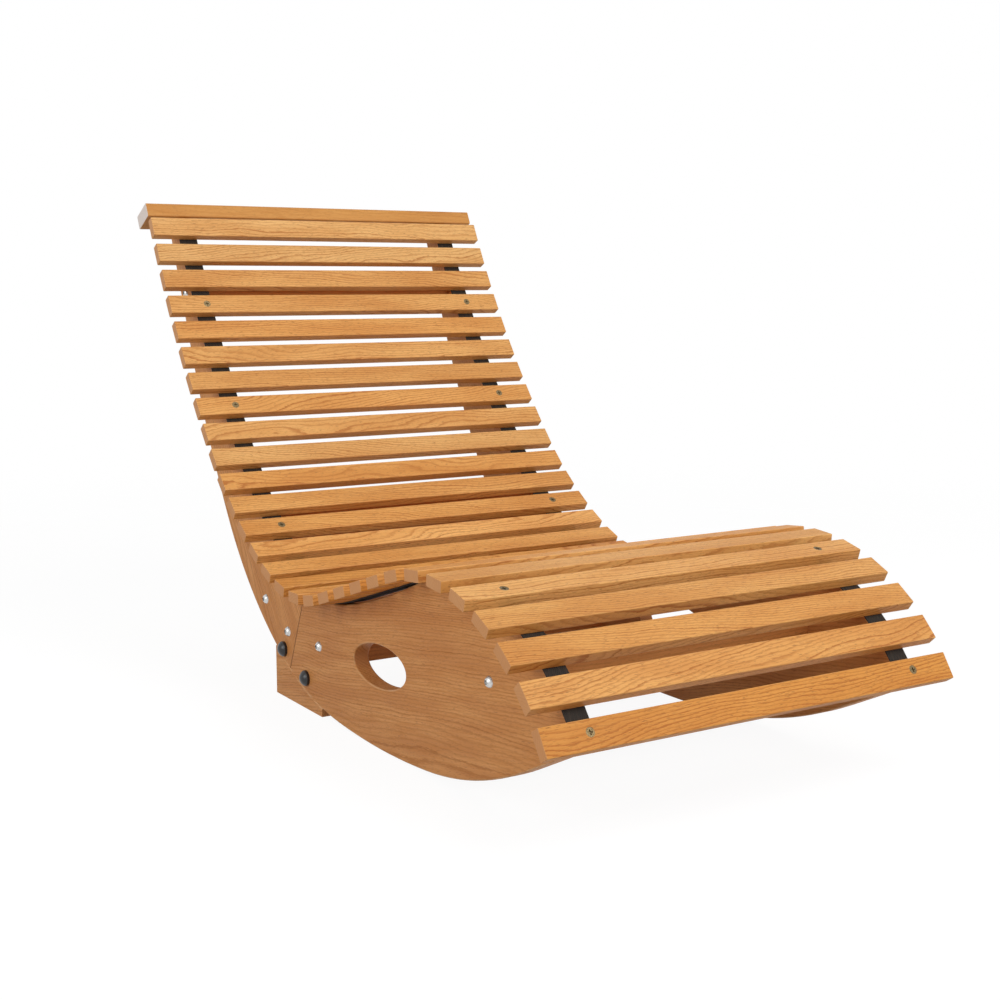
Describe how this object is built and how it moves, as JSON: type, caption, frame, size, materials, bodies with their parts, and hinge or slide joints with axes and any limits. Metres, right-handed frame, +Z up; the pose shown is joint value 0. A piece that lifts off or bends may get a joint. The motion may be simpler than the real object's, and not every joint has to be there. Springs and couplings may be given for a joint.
{
  "type": "rocking lounger",
  "caption": "Wooden rocking lounger: a wavy slatted seat and back on two curved side frames with runners, hand holes, cross rails and webbing.",
  "frame": {"origin": "on the floor under the middle of the lounger's box", "axes": "+Z up, +Y towards the head end, X across along the slats"},
  "size_m": [0.65, 1.2953, 0.7869],
  "materials": {
    "slat_wood": "oiled, honey coloured, open grain",
    "board_wood": "oiled, mid brown, fine grain",
    "webbing": "dark woven tape",
    "screw_metal": "dull yellow passivated",
    "bolt_metal": "bright zinc",
    "cover_plastic": "black, satin"
  },
  "bodies": {
    "root": {"slat_02": "slat_wood", "slat_03": "slat_wood", "slat_04": "slat_wood", "slat_05": "slat_wood", "slat_06": "slat_wood", "slat_07": "slat_wood", "slat_08": "slat_wood", "slat_09": "slat_wood", "slat_10": "slat_wood", "slat_11": "slat_wood", "slat_12": "slat_wood", "slat_13": "slat_wood", "slat_14": "slat_wood", "slat_15": "slat_wood", "slat_16": "slat_wood", "slat_17": "slat_wood", "slat_18": "slat_wood", "slat_19": "slat_wood", "slat_20": "slat_wood", "slat_21": "slat_wood", "slat_22": "slat_wood", "slat_23": "slat_wood", "slat_24": "slat_wood", "slat_25": "slat_wood", "slat_26": "slat_wood", "slat_27": "slat_wood", "slat_28": "slat_wood", "slat_29": "slat_wood", "slat_30": "slat_wood", "slat_31": "slat_wood", "head_cap_board": "slat_wood", "head_rail": "board_wood", "waist_rail": "board_wood", "lower_back_rail": "board_wood", "seat_rail": "board_wood", "front_rail": "board_wood", "left_back_board": "board_wood", "right_back_board": "board_wood", "left_rocker_board": "board_wood", "right_rocker_board": "board_wood", "left_joint_block": "board_wood", "right_joint_block": "board_wood", "left_webbing_strap": "webbing", "right_webbing_strap": "webbing", "slat_screws": "screw_metal", "rail_bolts": "bolt_metal", "block_bolts": "bolt_metal", "bolt_covers": "cover_plastic"}
  },
  "joints": []
}
